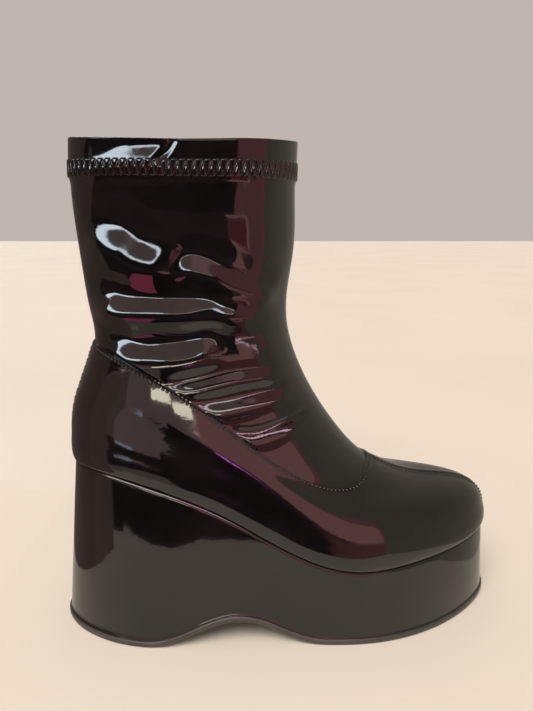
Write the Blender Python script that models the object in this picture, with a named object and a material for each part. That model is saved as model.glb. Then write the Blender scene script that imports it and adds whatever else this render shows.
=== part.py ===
"""A right-foot wedge ankle boot in stretch patent, standing on its sole.

Units are metres, +Z is up and +X runs from heel to toe along the straight outer edge of the sole.
The outer side of the foot faces -Y. The origin is on the floor, under the middle of the boot.
"""

from collections import namedtuple

import bmesh
import bpy
import numpy as np

# Driving sizes of the boot
OUTSOLE_THICKNESS = 0.0032
OUTSOLE_LIP = 0.0010
ARCH_RISE = 0.0137
ARCH_BACK_X = -0.0745
ARCH_FRONT_X = 0.0235
TOE_SPRING = 0.0015
TOE_SPRING_START_X = 0.0900
SOLE_TOE_X = 0.1270
WEDGE_EDGE_ROUND = 0.0024
UPPER_WALL = 0.0016
QUARTER_THICKNESS = 0.0010
HEM_STEP = 0.0008
HEM_RAMP = 0.0006
COLLAR_DIP = 0.0040
INSOLE_THICKNESS = 0.0025
JOIN_GAP = 0.0003

# How finely the solids are faceted
COLUMNS = 64
END_CROWDING = 0.45
LEVELS_BELOW_SEAM = 12
LEVELS_ABOVE_SEAM = 12
LEVELS_INSIDE = 17
WALL_ROWS = 5
EDGE_STEPS = 3
RING_SAMPLES = 241
SHARP_ANGLE = np.radians(35.0)

# Where along a closed outline, from its back to its front, the four half-widths are measured
WIDTH_STATIONS = np.array([0.16, 0.42, 0.66, 0.88])

Outline = namedtuple("Outline", "back_x front_x back_round heel waist ball toe front_round")
Section = namedtuple("Section", "name back_z front_z follow outline")

# Plan outlines of the wedge block: where it meets the floor unit, and where it meets the upper
SOLE_OUTLINE = Outline(-0.1270, 0.1270, 0.0200, 0.0350, 0.0376, 0.0455, 0.0330, 0.0170)
WEDGE_TOP_OUTLINE = Outline(-0.1158, 0.1225, 0.0220, 0.0305, 0.0335, 0.0425, 0.0298, 0.0180)

# Middle line of the last seen from above: the forefoot swings to the inner side
CENTRE_LINE = (
    # x, y
    (-0.1280, -0.0095),
    (-0.0600, -0.0095),
    (-0.0200, -0.0065),
    (0.0350, 0.0000),
    (0.0850, 0.0060),
    (0.1280, 0.0120),
)

# Height of the foot bed along the boot: heel seat, ramp, ball and toe
FOOT_BED = (
    # x, z
    (-0.1180, 0.0975),
    (-0.0950, 0.0972),
    (-0.0690, 0.0905),
    (-0.0390, 0.0773),
    (-0.0080, 0.0593),
    (0.0140, 0.0486),
    (0.0350, 0.0428),
    (0.0580, 0.0419),
    (0.0940, 0.0444),
    (0.1220, 0.0486),
)

# Sections of the last from the feather edge to the collar. follow is the share of the foot bed's
# curve that the section keeps. The outline holds back_x, front_x, back_round, the half-widths at
# heel, waist, ball and toe, and front_round.
SECTIONS = (
    Section("feather", 0.0978, 0.0486, 1.00,
            Outline(-0.1126, 0.1195, 0.0230, 0.0275, 0.0305, 0.0395, 0.0272, 0.0175)),
    Section("bulge", 0.1090, 0.0570, 1.00,
            Outline(-0.1150, 0.1208, 0.0240, 0.0305, 0.0330, 0.0422, 0.0295, 0.0190)),
    Section("toe_wall", 0.1190, 0.0645, 1.00,
            Outline(-0.1147, 0.1185, 0.0240, 0.0308, 0.0330, 0.0415, 0.0292, 0.0185)),
    Section("toe_shoulder", 0.1280, 0.0705, 1.00,
            Outline(-0.1128, 0.1118, 0.0235, 0.0303, 0.0325, 0.0395, 0.0280, 0.0175)),
    Section("toe_top", 0.1350, 0.0745, 1.00,
            Outline(-0.1102, 0.0985, 0.0225, 0.0298, 0.0320, 0.0365, 0.0260, 0.0150)),
    Section("vamp", 0.1420, 0.0780, 1.00,
            Outline(-0.1075, 0.0765, 0.0220, 0.0293, 0.0310, 0.0325, 0.0238, 0.0140)),
    Section("throat", 0.1515, 0.0905, 0.95,
            Outline(-0.1036, 0.0490, 0.0210, 0.0280, 0.0305, 0.0300, 0.0230, 0.0145)),
    Section("instep", 0.1640, 0.1100, 0.75,
            Outline(-0.1003, 0.0305, 0.0200, 0.0262, 0.0300, 0.0292, 0.0215, 0.0145)),
    Section("ankle", 0.1790, 0.1380, 0.45,
            Outline(-0.1018, 0.0128, 0.0180, 0.0242, 0.0292, 0.0290, 0.0218, 0.0170)),
    Section("shaft_low", 0.1920, 0.1720, 0.15,
            Outline(-0.1035, 0.0014, 0.0170, 0.0226, 0.0282, 0.0293, 0.0236, 0.0195)),
    Section("shaft_mid", 0.2130, 0.2070, 0.00,
            Outline(-0.1054, 0.0044, 0.0165, 0.0220, 0.0280, 0.0295, 0.0240, 0.0200)),
    Section("hem", 0.2425, 0.2415, 0.00,
            Outline(-0.1069, 0.0050, 0.0165, 0.0220, 0.0280, 0.0295, 0.0240, 0.0200)),
    Section("collar", 0.2635, 0.2625, 0.00,
            Outline(-0.1056, 0.0055, 0.0165, 0.0218, 0.0276, 0.0290, 0.0236, 0.0200)),
)

# Top edge of the quarters: girth runs from 0 at the front to 1 at the back, and height is measured
# up the wall of the last from the feather edge
QUARTER_SEAM = (
    # girth, height
    (0.00, 0.0750),
    (0.06, 0.0730),
    (0.18, 0.0638),
    (0.32, 0.0605),
    (0.48, 0.0690),
    (0.62, 0.0790),
    (0.76, 0.0875),
    (0.88, 0.0915),
    (1.00, 0.0915),
)

# Finishes
PATENT_BLACK = (0.010, 0.008, 0.008, 1.0)
STRETCH_BLACK = (0.012, 0.009, 0.010, 1.0)
RUBBER_BLACK = (0.018, 0.017, 0.016, 1.0)
SOCK_BLACK = (0.030, 0.028, 0.027, 1.0)


def natural_spline(knots, values):
    """A natural cubic spline through the knots, straight beyond its ends. Values may be rows."""
    knots = np.asarray(knots, float)
    values = np.asarray(values, float).reshape(len(knots), -1)
    step = np.diff(knots)
    slope = np.diff(values, axis=0) / step[:, None]
    system = np.eye(len(knots))
    right = np.zeros_like(values)
    for i in range(1, len(knots) - 1):
        system[i, i - 1 : i + 2] = step[i - 1], 2 * (step[i - 1] + step[i]), step[i]
        right[i] = 6 * (slope[i] - slope[i - 1])
    bend = np.linalg.solve(system, right)

    def evaluate(at):
        at = np.atleast_1d(np.asarray(at, float))
        inside = np.clip(at, knots[0], knots[-1])
        i = np.clip(np.searchsorted(knots, inside) - 1, 0, len(step) - 1)
        left = (knots[i + 1] - inside)[:, None]
        passed = (inside - knots[i])[:, None]
        width = step[i][:, None]
        curve = (bend[i] * left**3 + bend[i + 1] * passed**3) / (6 * width)
        curve += (values[i] / width - bend[i] * width / 6) * left
        curve += (values[i + 1] / width - bend[i + 1] * width / 6) * passed
        first = slope[0] - step[0] * bend[1] / 6
        last = slope[-1] + step[-1] * bend[-2] / 6
        beyond = (at - inside)[:, None]
        return curve + np.where(beyond < 0, beyond * first, beyond * last)

    return evaluate


centre_spline = natural_spline(*zip(*CENTRE_LINE))
bed_spline = natural_spline(*zip(*FOOT_BED))


def centre_y(x):
    return centre_spline(x)[:, 0]


def bed_z(x):
    return bed_spline(x)[:, 0]


def floor_z(x):
    """Underside of the sole: flat at heel and forefoot, raised at the arch and a little at the toe."""
    x = np.asarray(x, float)
    along_arch = np.clip((x - ARCH_BACK_X) / (ARCH_FRONT_X - ARCH_BACK_X), 0, 1)
    along_toe = np.clip((x - TOE_SPRING_START_X) / (SOLE_TOE_X - TOE_SPRING_START_X), 0, 1)
    return ARCH_RISE * np.sin(np.pi * along_arch) ** 2 + TOE_SPRING * along_toe**2


def inset(outline, by):
    """The outline drawn in by this much all round."""
    return Outline(outline.back_x + by, outline.front_x - by, *(size - by for size in outline[2:]))


def blend(first, second, share):
    return Outline(*(a + (b - a) * share for a, b in zip(first, second)))


def half_outline(outline):
    """(x, half-width) of an outline at many points from its front to its back."""
    length = outline.front_x - outline.back_x
    angle = np.linspace(0, np.pi, RING_SAMPLES)
    along = (1 + np.cos(angle)) / 2
    rounding = 2 * np.sqrt(WIDTH_STATIONS * (1 - WIDTH_STATIONS))
    widths = np.array([outline.heel, outline.waist, outline.ball, outline.toe]) / rounding
    ends = np.sqrt(np.array([outline.back_round, outline.front_round]) * length / 2)
    fullness = natural_spline([0, *WIDTH_STATIONS, 1], [ends[0], *widths, ends[1]])
    return outline.back_x + length * along, fullness(along)[:, 0] * np.sin(angle)


def girth_shares(columns):
    """Shares of the way from front to back for half the columns, closer together at both ends."""
    even = np.linspace(0, 1, columns // 2 + 1)
    return even + END_CROWDING * ((1 - np.cos(np.pi * even)) / 2 - even)


def closed_ring(x, half_width, z, columns):
    """A ring of columns points: front, outer side, back, inner side. Both sides share their x."""
    steps = np.sqrt(np.diff(x) ** 2 + np.diff(half_width) ** 2 + np.diff(z) ** 2)
    travelled = np.concatenate([[0], np.cumsum(steps)])
    at = girth_shares(columns) * travelled[-1]
    x, half_width, z = (np.interp(at, travelled, track) for track in (x, half_width, z))
    middle = centre_y(x)
    outer = np.column_stack([x, middle - half_width, z])
    inner = np.column_stack([x, middle + half_width, z])
    return np.concatenate([outer, inner[-2:0:-1]])


def section_heights():
    """Distance up the wall from the feather edge to each section, mean of front and back."""
    ends = np.array([
        [[s.outline.back_x, s.back_z], [s.outline.front_x, s.front_z]] for s in SECTIONS
    ])
    rise = np.linalg.norm(np.diff(ends, axis=0), axis=2).mean(axis=1)
    return np.concatenate([[0], np.cumsum(rise)])


HEIGHTS = section_heights()
COLLAR_HEIGHT = HEIGHTS[-1]
HEM_HEIGHT = HEIGHTS[-2]
last_spline = natural_spline(
    HEIGHTS, [[s.back_z, s.front_z, s.follow, *s.outline] for s in SECTIONS]
)
seam_spline = natural_spline(*zip(*QUARTER_SEAM))


def last_ring(height, columns):
    """The last's own ring at one height up the wall."""
    back_z, front_z, follow, *sizes = last_spline(height)[0]
    outline = Outline(*sizes)
    x, half_width = half_outline(outline)
    along = (x - outline.back_x) / (outline.front_x - outline.back_x)
    bed = bed_z(x)
    bed_chord = bed[-1] + (bed[0] - bed[-1]) * along
    z = back_z + (front_z - back_z) * along + follow * (bed - bed_chord)
    dip = COLLAR_DIP * np.clip((height - HEM_HEIGHT) / (COLLAR_HEIGHT - HEM_HEIGHT), 0, 1)
    z = z - dip * np.sqrt(np.clip(4 * along * (1 - along), 0, 1))
    if height == 0:
        z = bed + JOIN_GAP
    return closed_ring(x, half_width, z, columns)


def last_surface(heights, columns):
    """Grid of points on the last: one height up the wall for each level and column."""
    known = np.unique(np.round(np.linspace(0, COLLAR_HEIGHT, 96), 6))
    rings = np.array([last_ring(height, columns) for height in known])
    grid = np.empty((len(heights), columns, 3))
    for column in range(columns):
        for axis in range(3):
            grid[:, column, axis] = np.interp(heights[:, column], known, rings[:, column, axis])
    return grid


def outward(heights, columns):
    """Unit normals of the last at the same grid, level at the feather edge."""
    small = 0.0008
    up = last_surface(np.clip(heights + small, 0, COLLAR_HEIGHT), columns)
    down = last_surface(np.clip(heights - small, 0, COLLAR_HEIGHT), columns)
    here = last_surface(heights, columns)
    around = np.roll(here, -1, axis=1) - np.roll(here, 1, axis=1)
    normal = np.cross(up - down, around)
    normal[heights == 0, 2] = 0
    return normal / np.linalg.norm(normal, axis=2, keepdims=True)


def level_heights(shares, low, high):
    """Heights for levels that run in the given shares from a low edge to a high edge."""
    return low[None, :] + np.asarray(shares)[:, None] * (high - low)[None, :]


def seam_heights(columns):
    girth = girth_shares(columns)
    half = seam_spline(girth)[:, 0]
    return np.concatenate([half, half[-2:0:-1]])


def material(name, colour, roughness, coat):
    made = bpy.data.materials.new(name)
    made.use_nodes = True
    shader = made.node_tree.nodes["Principled BSDF"]
    shader.inputs["Base Color"].default_value = colour
    shader.inputs["Roughness"].default_value = roughness
    shader.inputs["Metallic"].default_value = 0.0
    shader.inputs["Coat Weight"].default_value = coat
    made.diffuse_color = colour
    return made


def solid(name, points, faces, finish, parent):
    """One closed object from points and faces, its faces turned outwards."""
    made = bmesh.new()
    corners = [made.verts.new(point) for point in points]
    for face in faces:
        made.faces.new([corners[i] for i in face])
    bmesh.ops.recalc_face_normals(made, faces=made.faces)
    mesh = bpy.data.meshes.new(name)
    made.to_mesh(mesh)
    made.free()
    mesh.materials.append(finish)
    mesh.shade_smooth()
    mesh.set_sharp_from_angle(angle=SHARP_ANGLE)
    obj = bpy.data.objects.new(name, mesh)
    bpy.context.scene.collection.objects.link(obj)
    obj.parent = parent
    return obj


def skin(loops, count, wrap):
    """Quads between neighbouring loops of count points, back to the first loop where wrap is set."""
    faces = []
    for level in range(loops if wrap else loops - 1):
        low, high = level * count, (level + 1) % loops * count
        for i in range(count):
            nxt = (i + 1) % count
            faces.append((low + i, low + nxt, high + nxt, high + i))
    return faces


def outline_cap(start, count):
    """Faces across a loop whose point i lies opposite point count - i."""
    half = count // 2
    faces = [(start, start + 1, start + count - 1)]
    for i in range(1, half - 1):
        faces.append((start + i, start + i + 1, start + count - i - 1, start + count - i))
    faces.append((start + half - 1, start + half, start + half + 1))
    return faces


def slab(name, loops, finish, parent):
    """A solid through a pile of outline loops, closed at both ends."""
    faces = skin(len(loops), COLUMNS, wrap=False)
    faces += outline_cap(0, COLUMNS) + outline_cap((len(loops) - 1) * COLUMNS, COLUMNS)
    return solid(name, np.concatenate(loops), faces, finish, parent)


def plan_loop(outline, height_of_x):
    x, half_width = half_outline(outline)
    return closed_ring(x, half_width, height_of_x(x), COLUMNS)


def wedge_base_z(x):
    return floor_z(x) + OUTSOLE_THICKNESS + JOIN_GAP


def build_outsole(finish, parent):
    """Thin floor unit that follows the arch, with a small lip all round the wedge."""
    edge = OUTSOLE_THICKNESS / 4
    levels = ((edge, 0.0), (0.0, edge), (0.0, OUTSOLE_THICKNESS - edge), (edge, OUTSOLE_THICKNESS))
    loops = [
        plan_loop(inset(SOLE_OUTLINE, drawn_in), lambda x, rise=rise: floor_z(x) + rise)
        for drawn_in, rise in levels
    ]
    return slab("outsole", loops, finish, parent)


def build_wedge(finish, parent):
    """Covered wedge and platform: leaning walls, a rounded top edge and the foot bed."""
    base = inset(SOLE_OUTLINE, OUTSOLE_LIP)
    loops = []
    for share in np.linspace(0, 1, WALL_ROWS):
        def wall_z(x, share=share):
            low = wedge_base_z(x)
            return low + share * (bed_z(x) - WEDGE_EDGE_ROUND - low)

        loops.append(plan_loop(blend(base, WEDGE_TOP_OUTLINE, share), wall_z))
    for turn in np.linspace(0, np.pi / 2, EDGE_STEPS + 1)[1:]:
        drawn_in = WEDGE_EDGE_ROUND * (1 - np.cos(turn))
        drop = WEDGE_EDGE_ROUND * (1 - np.sin(turn))
        loops.append(
            plan_loop(inset(WEDGE_TOP_OUTLINE, drawn_in), lambda x, drop=drop: bed_z(x) - drop)
        )
    return slab("wedge", loops, finish, parent)


def build_insole(finish, parent):
    """Sock lining board that lies on the foot bed inside the upper."""
    inside = inset(SECTIONS[0].outline, UPPER_WALL + JOIN_GAP)
    levels = (JOIN_GAP, JOIN_GAP + INSOLE_THICKNESS)
    loops = [plan_loop(inside, lambda x, rise=rise: bed_z(x) + rise) for rise in levels]
    return slab("insole", loops, finish, parent)


def build_upper(finish, parent):
    """The hollow upper, open at the collar and underneath, with a folded hem at the top."""
    floor = np.zeros(COLUMNS)
    seam = seam_heights(COLUMNS)
    hem = np.full(COLUMNS, HEM_HEIGHT)
    collar = np.full(COLUMNS, COLLAR_HEIGHT)
    below = level_heights(np.linspace(0, 1, LEVELS_BELOW_SEAM), floor, seam)
    above = level_heights(np.linspace(0, 1, LEVELS_ABOVE_SEAM)[1:], seam, hem)
    band = level_heights((0, 0.5, 1), hem + HEM_RAMP, collar)
    outside = np.concatenate([below, above, band])
    proud = np.zeros(outside.shape)
    proud[-len(band):] = HEM_STEP
    inside = level_heights(np.linspace(1, 0, LEVELS_INSIDE), floor, collar)
    heights = np.concatenate([outside, inside])
    offset = np.concatenate([proud, np.full(inside.shape, -UPPER_WALL)])
    rings = last_surface(heights, COLUMNS) + offset[:, :, None] * outward(heights, COLUMNS)
    faces = skin(len(rings), COLUMNS, wrap=True)
    return solid("upper", rings.reshape(-1, 3), faces, finish, parent)


def build_quarter(name, side, finish, parent):
    """Vamp and quarter of one side, lapped over the upper from the sole to the diagonal seam."""
    shares = np.linspace(0, 1, LEVELS_BELOW_SEAM)
    heights = level_heights(shares, np.zeros(COLUMNS), seam_heights(COLUMNS))
    surface = last_surface(heights, COLUMNS)
    normal = outward(heights, COLUMNS)
    half = COLUMNS // 2
    columns = np.arange(half + 1) if side < 0 else np.arange(COLUMNS, half - 1, -1) % COLUMNS
    near = (surface + JOIN_GAP * normal)[:, columns]
    far = (surface + (JOIN_GAP + QUARTER_THICKNESS) * normal)[:, columns]
    for face in (near, far):
        for seam_column in (0, -1):
            face[:, seam_column, 1] = centre_y(face[:, seam_column, 0]) + side * JOIN_GAP / 2
    loops = np.concatenate([near, far[:, ::-1]], axis=1)
    count = loops.shape[1]
    faces = skin(len(loops), count, wrap=False)
    for start in (0, (len(loops) - 1) * count):
        for i in range(half):
            faces.append((start + i, start + i + 1, start + count - i - 2, start + count - i - 1))
    return solid(name, loops.reshape(-1, 3), faces, finish, parent)


def main():
    for obj in list(bpy.data.objects):
        bpy.data.objects.remove(obj)
    boot = bpy.data.objects.new("boot", None)
    bpy.context.scene.collection.objects.link(boot)
    patent = material("patent", PATENT_BLACK, 0.12, 1.0)
    stretch = material("stretch_patent", STRETCH_BLACK, 0.14, 1.0)
    rubber = material("rubber", RUBBER_BLACK, 0.55, 0.0)
    sock = material("sock_lining", SOCK_BLACK, 0.80, 0.0)
    build_outsole(rubber, boot)
    build_wedge(patent, boot)
    build_insole(sock, boot)
    build_upper(stretch, boot)
    build_quarter("quarter_outer", -1, patent, boot)
    build_quarter("quarter_inner", 1, patent, boot)


main()
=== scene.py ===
"""Looks of the wedge ankle boot: creased patent upper, lapped quarters, stitching, wedge and outsole.

Units are metres in the boot's own frame: +X from heel to toe, the outer side of the foot faces -Y, +Z up.
"""

import math
from collections import namedtuple

import bpy
import numpy as np
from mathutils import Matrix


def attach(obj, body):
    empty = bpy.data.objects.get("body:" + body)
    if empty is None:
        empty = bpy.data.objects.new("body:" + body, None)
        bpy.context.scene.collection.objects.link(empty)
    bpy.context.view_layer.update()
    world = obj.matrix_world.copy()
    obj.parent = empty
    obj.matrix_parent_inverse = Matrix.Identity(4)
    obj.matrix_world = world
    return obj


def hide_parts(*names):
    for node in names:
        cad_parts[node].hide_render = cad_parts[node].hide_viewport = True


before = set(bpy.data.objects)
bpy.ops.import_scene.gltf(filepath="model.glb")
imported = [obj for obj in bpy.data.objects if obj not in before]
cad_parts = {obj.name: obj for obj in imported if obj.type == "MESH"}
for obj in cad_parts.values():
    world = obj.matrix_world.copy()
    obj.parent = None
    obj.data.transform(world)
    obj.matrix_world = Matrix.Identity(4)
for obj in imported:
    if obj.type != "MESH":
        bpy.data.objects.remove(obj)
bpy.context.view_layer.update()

# Sizes of the solids that the pieces stand for
OUTSOLE_THICKNESS = 0.0032
OUTSOLE_LIP = 0.0010
ARCH_RISE = 0.0137
ARCH_BACK_X = -0.0745
ARCH_FRONT_X = 0.0235
TOE_SPRING = 0.0015
TOE_SPRING_START_X = 0.0900
SOLE_TOE_X = 0.1270
WEDGE_EDGE_ROUND = 0.0024
UPPER_WALL = 0.0016
QUARTER_THICKNESS = 0.0010
HEM_STEP = 0.0008
COLLAR_DIP = 0.0040
INSOLE_THICKNESS = 0.0025
JOIN_GAP = 0.0003
QUARTER_BACK = 0.2 * JOIN_GAP

# Sizes that only the looks need
HEM_FOLD = 0.0115
COLLAR_ROUND = 0.0008
ZIGZAG_HEIGHT = 0.0072
ZIGZAG_PERIOD = 0.0038
ZIGZAG_THREAD = 0.00032
STITCH_PITCH = 0.00230
STITCH_LENGTH = 0.00190
STITCH_RADIUS = 0.00082
STITCH_MARGIN = 0.0018
HEEL_STITCH_LENGTH = 0.0036

# How finely the pieces are made
UPPER_COLUMNS = 360
QUARTER_COLUMNS = 520
SOLE_COLUMNS = 480
RING_SAMPLES = 961
MASTER_LEVELS = 420
END_CROWDING = 0.45

WIDTH_STATIONS = np.array([0.16, 0.42, 0.66, 0.88])
Outline = namedtuple("Outline", "back_x front_x back_round heel waist ball toe front_round")
Section = namedtuple("Section", "name back_z front_z follow outline")

SOLE_OUTLINE = Outline(-0.1270, 0.1270, 0.0200, 0.0350, 0.0376, 0.0455, 0.0330, 0.0170)
WEDGE_TOP_OUTLINE = Outline(-0.1158, 0.1225, 0.0220, 0.0305, 0.0335, 0.0425, 0.0298, 0.0180)

# Middle line of the last seen from above
CENTRE_LINE = (
    # x, y
    (-0.1280, -0.0095),
    (-0.0600, -0.0095),
    (-0.0200, -0.0065),
    (0.0350, 0.0000),
    (0.0850, 0.0060),
    (0.1280, 0.0120),
)

# Height of the foot bed along the boot
FOOT_BED = (
    # x, z
    (-0.1180, 0.0975),
    (-0.0950, 0.0972),
    (-0.0690, 0.0905),
    (-0.0390, 0.0773),
    (-0.0080, 0.0593),
    (0.0140, 0.0486),
    (0.0350, 0.0428),
    (0.0580, 0.0419),
    (0.0940, 0.0444),
    (0.1220, 0.0486),
)

# Sections of the last from the feather edge to the collar, as in the solid upper
SECTIONS = (
    Section("feather", 0.0978, 0.0486, 1.00,
            Outline(-0.1126, 0.1195, 0.0230, 0.0275, 0.0305, 0.0395, 0.0272, 0.0175)),
    Section("bulge", 0.1090, 0.0570, 1.00,
            Outline(-0.1150, 0.1208, 0.0240, 0.0305, 0.0330, 0.0422, 0.0295, 0.0190)),
    Section("toe_wall", 0.1190, 0.0645, 1.00,
            Outline(-0.1147, 0.1185, 0.0240, 0.0308, 0.0330, 0.0415, 0.0292, 0.0185)),
    Section("toe_shoulder", 0.1280, 0.0705, 1.00,
            Outline(-0.1128, 0.1118, 0.0235, 0.0303, 0.0325, 0.0395, 0.0280, 0.0175)),
    Section("toe_top", 0.1350, 0.0745, 1.00,
            Outline(-0.1102, 0.0985, 0.0225, 0.0298, 0.0320, 0.0365, 0.0260, 0.0150)),
    Section("vamp", 0.1420, 0.0780, 1.00,
            Outline(-0.1075, 0.0765, 0.0220, 0.0293, 0.0310, 0.0325, 0.0238, 0.0140)),
    Section("throat", 0.1515, 0.0905, 0.95,
            Outline(-0.1036, 0.0490, 0.0210, 0.0280, 0.0305, 0.0300, 0.0230, 0.0145)),
    Section("instep", 0.1640, 0.1100, 0.75,
            Outline(-0.1003, 0.0305, 0.0200, 0.0262, 0.0300, 0.0292, 0.0215, 0.0145)),
    Section("ankle", 0.1790, 0.1380, 0.45,
            Outline(-0.1018, 0.0128, 0.0180, 0.0242, 0.0292, 0.0290, 0.0218, 0.0170)),
    Section("shaft_low", 0.1920, 0.1720, 0.15,
            Outline(-0.1035, 0.0014, 0.0170, 0.0226, 0.0282, 0.0293, 0.0236, 0.0195)),
    Section("shaft_mid", 0.2130, 0.2070, 0.00,
            Outline(-0.1054, 0.0044, 0.0165, 0.0220, 0.0280, 0.0295, 0.0240, 0.0200)),
    Section("hem", 0.2425, 0.2415, 0.00,
            Outline(-0.1069, 0.0050, 0.0165, 0.0220, 0.0280, 0.0295, 0.0240, 0.0200)),
    Section("collar", 0.2635, 0.2625, 0.00,
            Outline(-0.1056, 0.0055, 0.0165, 0.0218, 0.0276, 0.0290, 0.0236, 0.0200)),
)

# Top edge of the quarters, by share of the girth from front to back and height up the wall
QUARTER_SEAM = (
    # girth, height
    (0.00, 0.0750),
    (0.06, 0.0730),
    (0.18, 0.0638),
    (0.32, 0.0605),
    (0.48, 0.0690),
    (0.62, 0.0790),
    (0.76, 0.0875),
    (0.88, 0.0915),
    (1.00, 0.0915),
)

OUTER, INNER = -1, 1
Fold = namedtuple("Fold", "side rise width fade path")

# Folds of the stretch upper, seen from its outer or inner side, from the hem down to the instep. rise is
# how far the soft crest stands out, or below zero how deep the trough goes. width is its half-width, fade
# the share of the path over which each end dies out, and path a run of (x, z) points.
FOLDS = (
    # A shallow dip and swell in the folded hem, and the crease that ends them
    Fold(OUTER, -0.0006, 0.0085, 0.08, (
        (-0.094, 0.2525), (-0.083, 0.253), (-0.076, 0.2555), (-0.067, 0.257),
        (-0.054, 0.2575))),
    Fold(OUTER, 0.0008, 0.0085, 0.08, ((-0.092, 0.248), (-0.080, 0.248), (-0.067, 0.248), (-0.054, 0.248))),
    Fold(OUTER, -0.0008, 0.0026, 0.20, (
        (-0.050, 0.262), (-0.052, 0.257), (-0.056, 0.252), (-0.061, 0.247))),
    # A wide soft swell under the hem
    Fold(OUTER, 0.0006, 0.0088, 0.25, (
        (-0.080, 0.230), (-0.059, 0.228), (-0.041, 0.227), (-0.029, 0.228),
        (-0.017, 0.226), (-0.005, 0.217))),
    # The slanting fold at the back of the shaft
    Fold(OUTER, -0.0019, 0.0125, 0.34, (
        (-0.098, 0.224), (-0.089, 0.223), (-0.082, 0.222), (-0.075, 0.221),
        (-0.069, 0.216), (-0.058, 0.203))),
    Fold(OUTER, 0.0024, 0.0125, 0.24, (
        (-0.099, 0.219), (-0.089, 0.213), (-0.083, 0.210), (-0.076, 0.206),
        (-0.069, 0.203), (-0.052, 0.198))),
    # A standing swell, then the fold that leads from it to the front
    Fold(OUTER, 0.0008, 0.0135, 0.45, ((-0.032, 0.242), (-0.031, 0.230), (-0.030, 0.218), (-0.028, 0.204))),
    Fold(OUTER, -0.0018, 0.0095, 0.16, (
        (-0.056, 0.208), (-0.047, 0.2085), (-0.036, 0.208), (-0.028, 0.204),
        (-0.018, 0.199), (-0.002, 0.195))),
    Fold(OUTER, 0.0018, 0.0085, 0.16, (
        (-0.054, 0.203), (-0.045, 0.200), (-0.034, 0.195), (-0.026, 0.191),
        (-0.017, 0.189), (-0.002, 0.187))),
    # Upper of the two long ankle folds
    Fold(OUTER, -0.0022, 0.0100, 0.14, (
        (-0.098, 0.189), (-0.074, 0.190), (-0.066, 0.189), (-0.046, 0.188),
        (-0.029, 0.187), (-0.010, 0.187))),
    Fold(OUTER, 0.0022, 0.0100, 0.14, (
        (-0.097, 0.187), (-0.078, 0.178), (-0.066, 0.178), (-0.047, 0.178),
        (-0.030, 0.179), (-0.010, 0.179))),
    # Lower of the two long ankle folds
    Fold(OUTER, -0.0022, 0.0115, 0.16, (
        (-0.094, 0.167), (-0.076, 0.169), (-0.066, 0.170), (-0.051, 0.169),
        (-0.039, 0.171), (-0.026, 0.173))),
    Fold(OUTER, 0.0023, 0.0095, 0.18, (
        (-0.093, 0.165), (-0.077, 0.157), (-0.066, 0.155), (-0.054, 0.156),
        (-0.042, 0.159), (-0.031, 0.168))),
    # Short folds that fan out over the instep
    Fold(OUTER, -0.0008, 0.0048, 0.22, (
        (-0.062, 0.144), (-0.047, 0.148), (-0.035, 0.150), (-0.020, 0.152),
        (0.000, 0.151))),
    Fold(OUTER, 0.0013, 0.0046, 0.22, (
        (-0.056, 0.140), (-0.042, 0.142), (-0.030, 0.145), (-0.017, 0.147),
        (0.003, 0.147))),
    Fold(OUTER, -0.0012, 0.0048, 0.22, ((-0.047, 0.135), (-0.030, 0.137), (-0.018, 0.139), (0.003, 0.141))),
    Fold(OUTER, 0.0011, 0.0050, 0.22, ((-0.042, 0.129), (-0.026, 0.130), (-0.012, 0.133), (0.006, 0.136))),
    # The sharp crease at the throat and the roll under it
    Fold(OUTER, -0.0013, 0.0027, 0.20, (
        (-0.028, 0.121), (-0.019, 0.119), (-0.011, 0.120), (-0.001, 0.123),
        (0.008, 0.125), (0.016, 0.127))),
    Fold(OUTER, 0.0007, 0.0042, 0.25, ((-0.026, 0.114), (-0.012, 0.113), (0.001, 0.117), (0.014, 0.120))),
    # Inner side: the long ankle folds, the slanting fold and the short ones over the instep
    Fold(INNER, -0.0019, 0.0100, 0.16, (
        (-0.088, 0.187), (-0.060, 0.189), (-0.034, 0.185), (-0.018, 0.182))),
    Fold(INNER, 0.0019, 0.0100, 0.16, ((-0.087, 0.179), (-0.056, 0.177), (-0.030, 0.178))),
    Fold(INNER, -0.0019, 0.0110, 0.18, ((-0.088, 0.166), (-0.060, 0.168), (-0.030, 0.171))),
    Fold(INNER, 0.0020, 0.0095, 0.20, ((-0.084, 0.158), (-0.060, 0.155), (-0.036, 0.162))),
    Fold(INNER, -0.0016, 0.0100, 0.18, (
        (-0.094, 0.228), (-0.080, 0.216), (-0.058, 0.206), (-0.030, 0.202))),
    Fold(INNER, 0.0016, 0.0095, 0.18, ((-0.093, 0.212), (-0.072, 0.201), (-0.040, 0.195))),
    Fold(INNER, -0.0009, 0.0046, 0.25, ((-0.050, 0.146), (-0.032, 0.148), (-0.010, 0.151))),
    Fold(INNER, 0.0010, 0.0044, 0.25, ((-0.047, 0.140), (-0.030, 0.142), (-0.010, 0.146))),
    Fold(INNER, -0.0009, 0.0046, 0.25, ((-0.038, 0.132), (-0.020, 0.135), (0.000, 0.139))),
    Fold(INNER, 0.0009, 0.0044, 0.25, ((-0.033, 0.126), (-0.016, 0.128), (0.004, 0.132))),
)


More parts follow.
